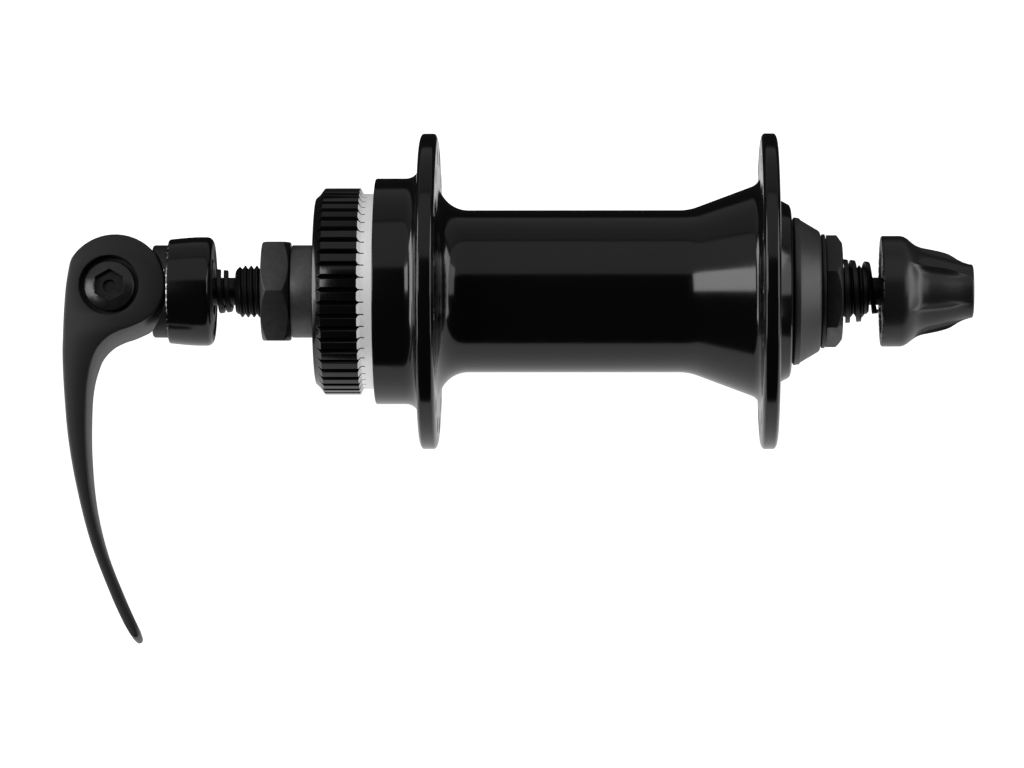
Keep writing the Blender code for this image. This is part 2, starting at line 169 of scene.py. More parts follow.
def drum(name: str, centre: tuple[float, float, float], radius: float, depth: float,
         sides: int, axis: str = "Y", turn: float = 0.0) -> bpy.types.Object:
    """Add a round or many-sided bar along X or Y.

    Args:
        name: Name of the bar.
        centre: Its middle.
        radius: Distance to its corners.
        depth: Its length.
        sides: Number of sides.
        axis: Direction it runs in.
        turn: Turn about its own length, in degrees.

    Returns:
        The bar.
    """
    place = Vector(centre) * MM
    bpy.ops.object.select_all(action="DESELECT")
    bpy.ops.mesh.primitive_cylinder_add(vertices=sides, radius=radius * MM, depth=depth * MM)
    obj = named(name)
    lay = Matrix.Rotation(math.pi / 2, 4, "Y" if axis == "X" else "X")
    spin = Matrix.Rotation(math.radians(turn), 4, axis)
    obj.matrix_world = Matrix.Translation(place) @ spin @ lay
    return settle(obj)


def apply_step(obj: bpy.types.Object, kind: str, **values: object) -> bpy.types.Object:
    """Add a modifier, set it and apply it.

    Args:
        obj: The object to change.
        kind: The modifier's type.
        **values: Its settings.

    Returns:
        The object.
    """
    only(obj)
    step = obj.modifiers.new(kind.lower(), kind)
    for key, value in values.items():
        setattr(step, key, value)
    bpy.ops.object.modifier_apply(modifier=step.name)
    return obj


def shape(obj: bpy.types.Object, tool: bpy.types.Object,
          operation: str = "DIFFERENCE") -> bpy.types.Object:
    """Cut, join or cross an object with a tool, which is used up."""
    apply_step(obj, "BOOLEAN", operation=operation, solver="EXACT", object=tool)
    bpy.data.objects.remove(tool)
    return obj


def soften(obj: bpy.types.Object, width: float, segments: int = 2,
           angle: float = 30.0) -> bpy.types.Object:
    """Round the edges sharper than an angle, by a width in millimetres."""
    return apply_step(
        obj, "BEVEL", width=width * MM, segments=segments, limit_method="ANGLE",
        angle_limit=math.radians(angle), use_clamp_overlap=True,
    )


def shade(obj: bpy.types.Object, angle: float = 30.0) -> bpy.types.Object:
    """Shade smooth, with edges sharper than the angle left crisp."""
    only(obj)
    bpy.ops.object.shade_smooth_by_angle(angle=math.radians(angle))
    return obj


def copy_round(tool: bpy.types.Object, count: int) -> bpy.types.Object:
    """Copy a tool evenly round the wheel axis and join the copies."""
    copies = [tool]
    for k in range(1, count):
        only(tool)
        bpy.ops.object.duplicate(linked=False)
        extra = bpy.context.object
        extra.rotation_euler.x = 2 * math.pi * k / count
        copies.append(settle(extra))
    only(tool)
    for extra in copies:
        extra.select_set(True)
    bpy.ops.object.join()
    return tool


def move_points(obj: bpy.types.Object, rule: Callable[[Vector], Vector]) -> None:
    """Move every point of a mesh by a rule on its place in millimetres."""
    for vert in obj.data.vertices:
        vert.co = rule(vert.co / MM) * MM
    obj.data.update()


def taper(obj: bpy.types.Object, wound_r: float, outer: Callable[[float], float]) -> None:
    """Draw a coil in or out along the wheel axis.

    Args:
        obj: The coil.
        wound_r: Outer radius that it was wound to.
        outer: Rule that gives the wanted outer radius at x.
    """

    def narrow(spot: Vector) -> Vector:
        """Move one point along its own radius."""
        r = math.hypot(spot.y, spot.z)
        share = (r - wound_r + outer(spot.x)) / r
        return Vector((spot.x, spot.y * share, spot.z * share))

    move_points(obj, narrow)


def wound(name: str, section: Profile, start: float, pitch: float, turns: float,
          steps: int) -> bpy.types.Object:
    """Wind a closed section round the wheel axis as a right-handed coil.

    Args:
        name: Name of the piece.
        section: (x, r) points of the section, x counted from its middle.
        start: Where the middle of the section starts.
        pitch: Advance in one turn.
        turns: Number of turns.
        steps: Steps in one turn.

    Returns:
        The coil with closed ends.
    """
    first_x, first_r = section[0]
    bpy.ops.object.select_all(action="DESELECT")
    place = ((start + first_x) * MM, 0, first_r * MM)
    bpy.ops.mesh.primitive_plane_add(size=MM / 10, location=place)
    obj = named(name)
    with editing(obj):
        bpy.ops.mesh.select_all(action="SELECT")
        bpy.ops.mesh.merge(type="CENTER")
        last_x, last_r = first_x, first_r
        for x, r in [*section[1:], section[0]]:
            step = ((x - last_x) * MM, 0, (r - last_r) * MM)
            bpy.ops.mesh.extrude_vertices_move(TRANSFORM_OT_translate={"value": step})
            last_x, last_r = x, r
        bpy.ops.mesh.select_all(action="SELECT")
        bpy.ops.mesh.remove_doubles(threshold=1e-8)
    apply_step(
        obj, "SCREW", axis="X", angle=2 * math.pi * turns, screw_offset=pitch * turns * MM,
        steps=math.ceil(steps * turns), render_steps=math.ceil(steps * turns), iterations=1,
    )
    with editing(obj):
        bpy.ops.mesh.select_all(action="DESELECT")
        bpy.ops.mesh.select_mode(type="EDGE")
        bpy.ops.mesh.select_non_manifold()
        bpy.ops.mesh.fill_holes(sides=0)
        bpy.ops.mesh.select_all(action="SELECT")
        bpy.ops.mesh.normals_make_consistent(inside=False)
    return obj


def outline_plate(name: str, points: Profile, half: float, edge: float) -> bpy.types.Object:
    """Make a plate in the XZ plane with rounded front and back edges.

    Args:
        name: Name of the piece.
        points: Its outline as (x, z) points.
        half: Half its thickness.
        edge: Radius of its edges.

    Returns:
        The plate as a mesh.
    """
    curve = bpy.data.curves.new(name, "CURVE")
    curve.dimensions = "2D"
    curve.fill_mode = "BOTH"
    spline = curve.splines.new("POLY")
    spline.points.add(len(points) - 1)
    for point, (x, z) in zip(spline.points, points):
        point.co = (x * MM, z * MM, 0, 1)
    spline.use_cyclic_u = True
    curve.extrude = (half - edge) * MM
    curve.bevel_depth = edge * MM
    curve.bevel_resolution = 2
    curve.offset = -edge * MM
    obj = bpy.data.objects.new(name, curve)
    bpy.context.scene.collection.objects.link(obj)
    only(obj)
    bpy.ops.object.convert(target="MESH")
    obj = bpy.context.object
    obj.rotation_euler.x = math.pi / 2
    settle(obj)
    with editing(obj):
        bpy.ops.mesh.select_all(action="SELECT")
        bpy.ops.mesh.remove_doubles(threshold=2e-6)
        bpy.ops.mesh.normals_make_consistent(inside=False)
    return obj


def flowing(knots: Profile, steps: int) -> Profile:
    """A smooth line through the knots.

    Args:
        knots: The points to pass through.
        steps: Chords between two knots.

    Returns:
        The points of the line, both ends included.
    """
    points: Profile = []
    ends = [knots[0], *knots, knots[-1]]
    for k in range(1, len(ends) - 2):
        before, here, there, after = (Vector(p) for p in ends[k - 1:k + 3])
        for step in range(steps):
            t = step / steps
            point = (2 * t**3 - 3 * t**2 + 1) * here + (3 * t**2 - 2 * t**3) * there
            point += (t**3 - 2 * t**2 + t) * (there - before) * 0.5
            point += (t**3 - t**2) * (after - here) * 0.5
            points.append((point.x, point.y))
    points.append(knots[-1])
    return points


# ------------------------------------------------------------------ shading


class Flow:
    """A shader socket that can be worked with as a number."""

    def __init__(self, graph: "Graph", socket: bpy.types.NodeSocket) -> None:
        """Wrap a socket of a graph."""
        self.graph = graph
        self.socket = socket

    def _math(self, operation: str, *values: object) -> "Flow":
        """Join values by one Math node."""
        return self.graph.node("ShaderNodeMath", {"operation": operation}, *values)

    def __add__(self, other: object) -> "Flow":
        """Sum."""
        return self._math("ADD", self, other)

    __radd__ = __add__

    def __sub__(self, other: object) -> "Flow":
        """Difference."""
        return self._math("SUBTRACT", self, other)

    def __rsub__(self, other: object) -> "Flow":
        """Difference the other way round."""
        return self._math("SUBTRACT", other, self)

    def __mul__(self, other: object) -> "Flow":
        """Product."""
        return self._math("MULTIPLY", self, other)

    __rmul__ = __mul__

    def ramp(self, low: float, high: float) -> "Flow":
        """Rise from 0 at low to 1 at high, held at both ends."""
        settings = {"interpolation_type": "SMOOTHSTEP"}
        return self.graph.node("ShaderNodeMapRange", settings, self, low, high, 0.0, 1.0)


class Graph:
    """One material's nodes."""

    def __init__(self, name: str) -> None:
        """Start a material with one Principled shader."""
        self.material = bpy.data.materials.new(name)
        self.material.use_nodes = True
        self.tree = self.material.node_tree
        self.shader = self.tree.nodes["Principled BSDF"]
        self.place = self.node("ShaderNodeTexCoord", {}, output="Object")

    def node(self, kind: str, settings: dict[str, object], *values: object,
             output: str | int = 0, **sockets: object) -> Flow:
        """Add a node.

        Args:
            kind: The node's type.
            settings: Properties, set before its sockets.
            *values: Values or links of its first sockets, in order.
            output: Which output to give back.
            **sockets: Values or links by socket name, with _ for a space.

        Returns:
            The chosen output.
        """
        made = self.tree.nodes.new(kind)
        for key, value in settings.items():
            setattr(made, key, value)
        for number, value in enumerate(values):
            self._feed(made.inputs[number], value)
        for key, value in sockets.items():
            self._feed(made.inputs[key.replace("_", " ")], value)
        return Flow(self, made.outputs[output])

    def _feed(self, socket: bpy.types.NodeSocket, value: object) -> None:
        """Link or set one socket."""
        if isinstance(value, Flow):
            self.tree.links.new(value.socket, socket)
        elif value is not None:
            socket.default_value = value

    def axes(self) -> tuple[Flow, Flow, Flow]:
        """The place's x, y and z in metres."""
        split = self.node("ShaderNodeSeparateXYZ", {}, self.place).socket.node
        return tuple(Flow(self, split.outputs[k]) for k in range(3))

    def noise(self, scale: float, detail: float = 3.0, where: Flow | None = None) -> Flow:
        """Cloudy noise from 0 to 1 at a scale per metre."""
        spot = self.place if where is None else where
        return self.node("ShaderNodeTexNoise", {}, Vector=spot, Scale=scale, Detail=detail)

    def streaks(self, stretch: tuple[float, float, float], detail: float = 2.0) -> Flow:
        """Noise drawn out along the axes with small stretch values."""
        where = self.node(
            "ShaderNodeMapping", {"vector_type": "POINT"}, Vector=self.place, Scale=stretch
        )
        return self.noise(1.0, detail, where)

    def rings(self, per_metre: float, detail: float = 2.0) -> Flow:
        """Fine turning marks: noise that changes along the wheel axis only."""
        along = self.axes()[0]
        settings = {"noise_dimensions": "1D"}
        return self.node("ShaderNodeTexNoise", settings, W=along, Scale=per_metre, Detail=detail)

    def blend(self, share: Flow, first: object, second: object) -> Flow:
        """Mix two colours."""
        made = self.node("ShaderNodeMix", {"data_type": "RGBA"}, output=2)
        node = made.socket.node
        self._feed(node.inputs[0], share)
        self._feed(node.inputs[6], first)
        self._feed(node.inputs[7], second)
        return made

    def bump(self, height: Flow, strength: float, depth: float) -> Flow:
        """Turn a height into a normal, its depth in millimetres."""
        distance = depth * MM
        return self.node("ShaderNodeBump", {}, Strength=strength, Distance=distance, Height=height)

    def dress(self, **sockets: object) -> bpy.types.Material:
        """Feed the shader and give back the material."""
        for key, value in sockets.items():
            self._feed(self.shader.inputs[key.replace("_", " ")], value)
        return self.material


def grey(value: float, warm: float = 0.0) -> tuple[float, float, float, float]:
    """A grey, a little warm if asked."""
    return (value * (1 + warm), value, value * (1 - warm), 1.0)


@dataclass(frozen=True)
class Anodised:
    """Black anodised aluminium with fine turning marks.

    Attributes:
        name: Name of the material.
        colour: Its grey.
        roughness: Mean roughness.
        marks: Depth of the turning marks in millimetres.
        sheen: Strength of its reflections.
    """

    name: str
    colour: float = 0.004
    roughness: float = 0.1
    marks: float = 0.0016
    sheen: float = 0.5

    def make(self) -> bpy.types.Material:
        """Build the material."""
        graph = Graph(self.name)
        turning = graph.rings(9000.0) + 0.6 * graph.rings(2600.0)
        cloud = graph.noise(260.0, 4.0)
        dust = graph.noise(5200.0, 2.0).ramp(0.68, 0.78)
        return graph.dress(
            Base_Color=graph.blend(dust, grey(self.colour), grey(self.colour * 4, 0.04)),
            Roughness=self.roughness + 0.07 * cloud + 0.12 * dust,
            Normal=graph.bump(turning, 0.6, self.marks),
            Specular_IOR_Level=self.sheen,
        )


@dataclass(frozen=True)
class TurnedAluminium:
    """Bare aluminium fresh from the lathe, lifted by painted light of its own.

    Attributes:
        name: Name of the material.
        colour: Its grey.
        roughness: Mean roughness.
        metal: Share of metal, the rest being scattered light.
        painted_glow: Painted light: light of its own, which lifts the band to the brightness of
            lit metal.
    """

    name: str
    colour: float = 0.93
    roughness: float = 0.38
    metal: float = 0.45
    painted_glow: float = 0.3

    def make(self) -> bpy.types.Material:
        """Build the material."""
        graph = Graph(self.name)
        turning = graph.rings(14000.0, 3.0)
        stain = graph.noise(500.0, 3.0)
        return graph.dress(
            Base_Color=graph.blend(stain, grey(self.colour), grey(self.colour * 0.9, 0.01)),
            Metallic=self.metal,
            Roughness=self.roughness + 0.12 * turning,
            Normal=graph.bump(turning, 0.8, 0.004),
            # Painted light: the band glows white, standing in for lamp light on lit metal.
            Emission_Color=grey(1.0),
            Emission_Strength=self.painted_glow,
        )


@dataclass(frozen=True)
class BlackSteel:
    """Black-oxide steel: dark, slightly mottled, with a low metal sheen."""

    name: str
    colour: float = 0.035
    roughness: float = 0.38
    metal: float = 0.55
    marks: float = 0.002

    def make(self) -> bpy.types.Material:
        """Build the material."""
        graph = Graph(self.name)
        mottle = graph.noise(900.0, 4.0)
        speck = graph.noise(4200.0, 2.0).ramp(0.62, 0.75)
        turning = graph.rings(6000.0) + mottle
        return graph.dress(
            Base_Color=graph.blend(mottle, grey(self.colour * 0.7), grey(self.colour * 1.3)),
            Metallic=self.metal,
            Roughness=self.roughness + 0.14 * mottle + 0.1 * speck,
            Normal=graph.bump(turning, 0.5, self.marks),
        )


@dataclass(frozen=True)
class MouldedPlastic:
    """Moulded plastic with a fine grain."""

    name: str
    colour: float = 0.012
    roughness: float = 0.45
    grain: float = 0.012

    def make(self) -> bpy.types.Material:
        """Build the material."""
        graph = Graph(self.name)
        grain = graph.noise(3800.0, 3.0)
        cloud = graph.noise(200.0)
        return graph.dress(
            Base_Color=graph.blend(cloud, grey(self.colour * 0.8), grey(self.colour * 1.25)),
            Roughness=self.roughness + 0.1 * grain,
            Normal=graph.bump(grain, 0.5, self.grain),
        )


@dataclass(frozen=True)
class GlossPlating:
    """Gloss black plating that has worn through in specks at one rim.

    Attributes:
        name: Name of the material.
        rim: x of the worn rim in millimetres.
    """

    name: str
    rim: float

    def make(self) -> bpy.types.Material:
        """Build the material."""
        graph = Graph(self.name)
        along = graph.axes()[0]
        near = 1 - (along - self.rim * MM).ramp(0.00005, 0.00035)
        worn = near * graph.noise(1500.0, 4.0).ramp(0.5, 0.62)
        ripple = graph.noise(130.0, 2.0)
        return graph.dress(
            Base_Color=graph.blend(worn, grey(0.004), grey(0.5)),
            Metallic=worn,
            Roughness=0.12 + 0.06 * ripple + 0.25 * worn,
            Normal=graph.bump(ripple, 0.35, 0.05),
        )


@dataclass(frozen=True)
class BrushedBlack:
    """Matte black anodising with short brush marks and lint-like specks."""

    name: str
    colour: float = 0.006
    roughness: float = 0.42

    def make(self) -> bpy.types.Material:
        """Build the material."""
        graph = Graph(self.name)
        brush = graph.streaks((900.0, 3000.0, 9000.0))
        cloud = graph.noise(320.0, 4.0)
        speck = graph.noise(3300.0, 1.0).ramp(0.73, 0.8)
        return graph.dress(
            Base_Color=graph.blend(speck, grey(self.colour), grey(0.03, 0.03)),
            Roughness=self.roughness + 0.16 * (brush - 0.5) + 0.08 * cloud,
            Normal=graph.bump(brush, 0.5, 0.006),
        )


@dataclass(frozen=True)
class PolishedSteel:
    """Ground and polished bearing steel."""

    name: str
    roughness: float = 0.12

    def make(self) -> bpy.types.Material:
        """Build the material."""
        graph = Graph(self.name)
        film = graph.noise(700.0, 3.0)
        return graph.dress(
            Base_Color=graph.blend(film, grey(0.55), grey(0.68, 0.01)),
            Metallic=1.0,
            Roughness=self.roughness + 0.1 * film,
            Normal=graph.bump(film, 0.2, 0.002),
        )


def coat(obj: bpy.types.Object, *finishes: object) -> bpy.types.Object:
    """Give an object its finishes, one material slot each."""
    obj.data.materials.clear()
    for finish in finishes:
        obj.data.materials.append(finish.make())
    return obj


def fit(obj: bpy.types.Object, node: str, body: str) -> None:
    """Let a piece stand for a CAD node and ride on its body."""
    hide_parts(node)
    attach(obj, body)
    log.info("%s stands for %s on %s", obj.name, node, body)


# ------------------------------------------------------------ sub-assemblies


@dataclass
class HubShell:
    """One-piece shell: flanges, barrel, cone, splined disc mount and bores."""

    flange_r: float = 27.24
    rim_r: float = 25.34
    rim_half: float = 0.75
    root_fillet: float = 2.2
    barrel_r: float = 14.0
    cone_angle: float = 20.5
    cone_start: float = 23.6
    left_flange: tuple[float, float] = (-22.8, -19.6)
    right_flange: tuple[float, float] = (35.9, 38.9)
    shoulder_r: float = 19.5
    seat_x: float = -30.4
    seat_r: float = 16.86
    spline: tuple[float, float] = (-40.7, -33.0)
    crown_r: float = 17.82
    root_r: float = 16.72
    splines: int = 50
    recess_r: float = 14.5
    holes: int = 16
    hole_circle: float = 23.5
    hole_r: float = 1.3
    sides: int = 200

    def outside(self) -> Profile:
        """Outer surface from the spline end to the right boss."""
        slope = math.tan(math.radians(self.cone_angle))
        left_out, left_in = self.left_flange
        right_in, right_out = self.right_flange
        rim, half, fillet = self.flange_r - self.rim_r, self.rim_half, self.root_fillet
        outline: Profile = [(self.spline[0], 15.55)]
        outline += arc(self.spline[0] + 0.35, 15.85, 0.35, 180, 120, 3)
        outline += [(-39.95, 16.68), (-39.15, 17.75), (-39.0, self.crown_r)]
        outline += [(self.spline[1], self.crown_r), (-32.72, 17.2), (-32.45, self.seat_r)]
        outline += [(self.seat_x, self.seat_r)]
        outline += arc(self.seat_x + 0.3, self.shoulder_r - 0.3, 0.3, 180, 90, 3)
        outline += arc(left_out - 2.4, self.shoulder_r + 2.4, 2.4, -90, 0, 8)
        outline += arc(left_out + half, self.rim_r, half, 180, 90, 8, rim)
        outline += arc(left_in - half, self.rim_r, half, 90, 0, 8, rim)
        outline += arc(left_in + 5.2, self.barrel_r + 5.2, 5.2, 180, 270, 16)
        outline += self.cone_blend(slope)
        tangent_x = right_in - fillet + fillet * math.sin(math.radians(self.cone_angle))
        tangent_r = self.barrel_r + (tangent_x - self.cone_start) * slope
        centre_r = tangent_r + fillet * math.cos(math.radians(self.cone_angle))
        outline += arc(right_in - fillet, centre_r, fillet, self.cone_angle - 90, 0, 8)
        outline += arc(right_in + half, self.rim_r, half, 180, 90, 8, rim)
        outline += arc(right_out - half, self.rim_r, half, 90, 0, 8, rim)
        outline += [(right_out, 16.2), (right_out + 0.12, 15.95), (right_out + 0.4, 15.75)]
        outline += [(40.85, 14.92), (41.05, 14.6), (41.2, 14.1)]
        return outline

    def cone_blend(self, slope: float) -> Profile:
        """Soft bend where the barrel opens into the cone."""
        start = self.cone_start - 1.6
        points = []
        for k in range(7):
            along = 3.2 * k / 6
            points.append((start + along, self.barrel_r + slope * along**2 / 6.4))
        return points

    def inside(self) -> Profile:
        """Bores from the right boss back to the spline end, with the lockring thread."""
        outline: Profile = [(41.2, 12.75), (40.95, 12.45), (31.2, 12.45), (31.2, 9.5)]
        outline += [(28.8, 9.5), (27.3, 11.0), (-20.5, 11.0), (-22.0, 9.5), (-24.4, 9.5)]
        outline += [(-24.4, 12.45), (-34.5, 12.45), (-34.5, self.recess_r + 0.35)]
        outline.append((-36.2, self.recess_r + 0.35))
        for k in range(4):
            crest = -36.6 - k
            outline += [(crest, self.recess_r), (crest - 0.15, self.recess_r)]
            outline += [(crest - 0.5, self.recess_r + 0.4), (crest - 0.65, self.recess_r + 0.4)]
        outline += [(-40.35, self.recess_r), (self.spline[0], 14.85)]
        return outline

    def groove(self) -> bpy.types.Object:
        """One groove cutter with a narrow root and flaring lips."""
        low, high = self.spline[0] - 1.0, self.spline[1] + 1.2
        bar = drum("groove", ((low + high) / 2, 0, 0), 1.0, high - low, 8, "X", 22.5)
        levels = [(-0.5, self.root_r, 0.07), (0.0, self.root_r + 0.66, 0.2)]
        levels += [(0.5, self.crown_r - 0.03, 0.46), (1.0, self.crown_r + 0.8, 1.7)]

        def flare(spot: Vector) -> Vector:
            """Set a corner of the bar to its level's reach and half width."""
            reach, half = next((r, w) for top, r, w in levels if spot.z < top)
            return Vector((spot.x, math.copysign(half, spot.y), reach))

        move_points(bar, flare)
        bar.rotation_euler.x = math.pi / self.splines
        return settle(bar)

    def hole(self, span: tuple[float, float], turn: float) -> bpy.types.Object:
        """One spoke hole cutter, flared at both faces of its flange."""
        low, high = span
        outline = [(low - 1, 0), (low - 1, self.hole_r + 0.9), (low + 0.22, self.hole_r)]
        outline += [(high - 0.22, self.hole_r), (high + 1, self.hole_r + 0.9), (high + 1, 0)]
        cutter = turned("spoke_hole", outline, 24)
        angle = 2 * math.pi * turn / self.holes
        shift = Vector((0, math.cos(angle), math.sin(angle))) * self.hole_circle * MM
        cutter.location = shift
        return settle(cutter)

    def build(self) -> None:
        """Turn the shell, cut its grooves and holes, and dress it."""
        obj = turned("hub_shell_fine", self.outside() + self.inside(), self.sides)
        shape(obj, copy_round(self.groove(), self.splines))
        shape(obj, copy_round(self.hole(self.left_flange, 0.5), self.holes))
        shape(obj, copy_round(self.hole(self.right_flange, 0.0), self.holes))
        coat(obj, Anodised("shell_black"), TurnedAluminium("shell_bright_band"))
        for face in obj.data.polygons:
            face.material_index = int(self.is_bare(face))
        shade(obj, 28)
        fit(obj, "hub_shell", "hub_body")

    def is_bare(self, face: bpy.types.MeshPolygon) -> bool:
        """Whether a face belongs to the bright turned band."""
        x, y, z = face.center / MM
        r = math.hypot(y, z)
        sideways = abs(face.normal.y * z - face.normal.z * y) / r
        on_band = self.spline[1] - 0.01 < x < self.seat_x - 0.01
        return on_band and self.seat_r - 0.1 < r < self.crown_r and sideways < 0.25


@dataclass
class Bearing:
    """One cup-and-cone bearing with its dust shield and loose balls."""

    side: Side
    centre: float
    cone_end: float
    ball_r: float = 2.38125
    circle_r: float = 8.1
    race_r: float = 2.55
    balls: int = 10

    def outward(self, profile: Profile) -> Profile:
        """Place a profile given by its distance outward from the balls."""
        return [(self.centre + self.side.sign * u, r) for u, r in profile]

    def build_races(self) -> None:
        """Cup, cone and shield."""
        end = self.side.value
        race = arc(0, self.circle_r, self.race_r, 90, 172, 14)
        profile = [(-4.0, 12.3), (4.1, 12.3), (4.1, 10.65), *race, (-4.0, 8.2)]
        cup = turned("race_cup_" + end, self.outward(profile), 96)
        shade(coat(soften(cup, 0.1), PolishedSteel("race_cup_steel_" + end, 0.2)))
        fit(cup, "bearing_cup_" + end, "hub_body")
        race = arc(0, self.circle_r, self.race_r, 262, 354, 14)
        profile = [(-1.6, 4.65), (-1.6, 5.4), *race, (2.9, 7.9)]
        profile += [(self.cone_end, 7.9), (self.cone_end, 4.65)]
        cone = turned("race_cone_" + end, self.outward(profile), 96)
        shade(coat(soften(cone, 0.08), BlackSteel("race_cone_steel_" + end, 0.06)))
        fit(cone, "cone_" + end, "axle_set")
        profile = [(4.35, 8.5), (4.35, 12.25), (5.6, 12.25), (5.6, 11.8), (5.0, 11.4)]
        profile.append((5.0, 8.5))
        ring = turned("dust_ring_" + end, self.outward(profile), 96)
        shade(coat(soften(ring, 0.08), MouldedPlastic("dust_ring_plastic_" + end)))
        fit(ring, "dust_shield_" + end, "hub_body")

    def build_balls(self) -> None:
        """Model one ball and copy it round the race."""
        end = self.side.value
        bpy.ops.object.select_all(action="DESELECT")
        place = (self.centre * MM, self.circle_r * MM, 0)
        radius = self.ball_r * MM
        bpy.ops.mesh.primitive_ico_sphere_add(subdivisions=4, radius=radius, location=place)
        first = named(f"bearing_ball_{end}_01")
        coat(shade(first, 60), PolishedSteel("ball_steel_" + end, 0.06))
        made = [first]
        for k in range(1, self.balls):
            only(first)
            bpy.ops.object.duplicate(linked=False)
            ball = bpy.context.object
            ball.name = f"bearing_ball_{end}_{k + 1:02d}"
            ball.rotation_euler.x = 2 * math.pi * k / self.balls
            made.append(settle(ball))
        for k, ball in enumerate(made):
            fit(ball, f"ball_{end}_{k + 1:02d}", "ball_train_" + end)

    def build(self) -> None:
        """Build the whole bearing."""
        self.build_races()
        self.build_balls()


@dataclass
class AxleSet:
    """Hollow threaded axle and everything clamped on it."""

    end_x: float = 54.6
    bore_r: float = 2.75
    root_r: float = 3.93
    crest_r: float = 4.48
    pitch: float = 1.0
    flats: float = 17.0
    left_nut: tuple[float, float] = (-50.0, -45.1)
    right_nut: tuple[float, float] = (47.2, 50.0)

    def build_axle(self) -> None:
        """Core tube with a real thread wound on both ends."""
        tip = [(self.end_x, self.bore_r + 0.25), (self.end_x, 3.55), (54.25, self.root_r)]
        core = tip + [(49.4, self.root_r), (49.4, 4.5)]
        outline = core + [(-x, r) for x, r in reversed(core)]
        outline += [(-self.end_x + 0.3, self.bore_r), (self.end_x - 0.3, self.bore_r)]
        axle = turned("axle_tube", outline, 96)
        section = [(-0.46, self.root_r - 0.2), (-0.44, self.root_r), (-0.07, self.crest_r)]
        section += [(0.07, self.crest_r), (0.44, self.root_r), (0.46, self.root_r - 0.2)]
        threads = [
            wound("thread_right", section, 49.0, self.pitch, 5.0, 64),
            wound("thread_left", section, -54.0, self.pitch, 5.0, 64),
        ]
        for thread in threads:
            move_points(thread, self.run_out)
        only(axle)
        for thread in threads:
            thread.select_set(True)
        bpy.ops.object.join()
        shade(coat(axle, BlackSteel("axle_steel", 0.03, 0.34)), 35)
        fit(axle, "axle", "axle_set")

    def run_out(self, spot: Vector) -> Vector:
        """Let the thread die away into the chamfer at the axle's end."""
        r = math.hypot(spot.y, spot.z)
        allowed = self.crest_r - max(abs(spot.x) - 53.75, 0.0) * 0.95
        share = min(allowed / r, 1.0)
        return Vector((spot.x, spot.y * share, spot.z * share))

    def hex_nut(self, name: str, span: tuple[float, float], turn: float,
                both: bool) -> bpy.types.Object:
        """A hexagon nut crossed with a turned blank, so its corners are chamfered."""
        low, high = span
        corner = self.flats / math.sqrt(3) + 0.02
        face = self.flats / 2 - 0.15
        rise = (corner - face) * 0.7
        outline = [(low + 0.3, 4.65), (low, 5.65)]
        outline += [(low, face), (low + rise, corner)] if both else [(low, corner)]
        outline += [(high - rise, corner), (high, face), (high, 5.65), (high - 0.3, 4.65)]
        nut = turned(name, outline, 144)
        middle = (low + high) / 2
        reach = self.flats / math.sqrt(3)
        blank = drum("hexagon", (middle, 0, 0), reach, high - low + 4, 6, "X", turn)
        shape(nut, blank, "INTERSECT")
        return shade(soften(nut, 0.09, 2, 18), 25)

    def build_nuts(self) -> None:
        """Both locknuts."""
        left = self.hex_nut("locknut_left_hex", self.left_nut, 0.0, True)
        coat(left, BlackSteel("locknut_left_steel", 0.07, 0.32, 0.5))
        fit(left, "locknut_left", "axle_set")
        right = self.hex_nut("locknut_right_hex", self.right_nut, 40.3, False)
        coat(right, BlackSteel("locknut_right_steel", 0.04, 0.34, 0.5))
        fit(right, "locknut_right", "axle_set")

    def build_spacers(self) -> None:
        """Left spacer, right washer and the conical seal cap."""
        outline = [(-44.9, 4.65), (-44.9, 8.0), (-38.2, 8.0), (-38.2, 4.65)]
        spacer = soften(turned("spacer_left_barrel", outline, 128), 0.22)
        coat(shade(spacer), BlackSteel("spacer_steel", 0.13, 0.36, 0.5, 0.006))
        fit(spacer, "spacer_left", "axle_set")
        outline = [(46.45, 4.65), (46.45, 9.85), (47.05, 9.85), (47.05, 4.65)]
        washer = soften(turned("washer_right_ring", outline, 96), 0.12)
        coat(shade(washer), BlackSteel("washer_steel", 0.03, 0.36))
        fit(washer, "washer_right", "axle_set")
        outline = [(41.5, 8.15), (41.5, 12.55), (41.75, 12.78), (42.65, 12.6), (42.85, 12.3)]
        outline += [(45.9, 10.48), (46.15, 10.2), (46.3, 9.7), (46.3, 8.15)]
        cap = soften(turned("seal_cap_cone", outline, 144), 0.08)
        coat(shade(cap), MouldedPlastic("seal_cap_rubber", 0.035, 0.36, 0.008))
        fit(cap, "seal_cap_right", "axle_set")

    def build(self) -> None:
        """Build the whole fixed set."""
        self.build_axle()
        self.build_nuts()
        self.build_spacers()


@dataclass
class SkewerPart:
    """What the skewer's pieces share: its parked turn about the wheel axis."""

    roll: float = -10.0

    def park(self, obj: bpy.types.Object) -> bpy.types.Object:
        """Turn a piece with the skewer."""
        obj.rotation_euler.x = math.radians(self.roll)
        return settle(obj)


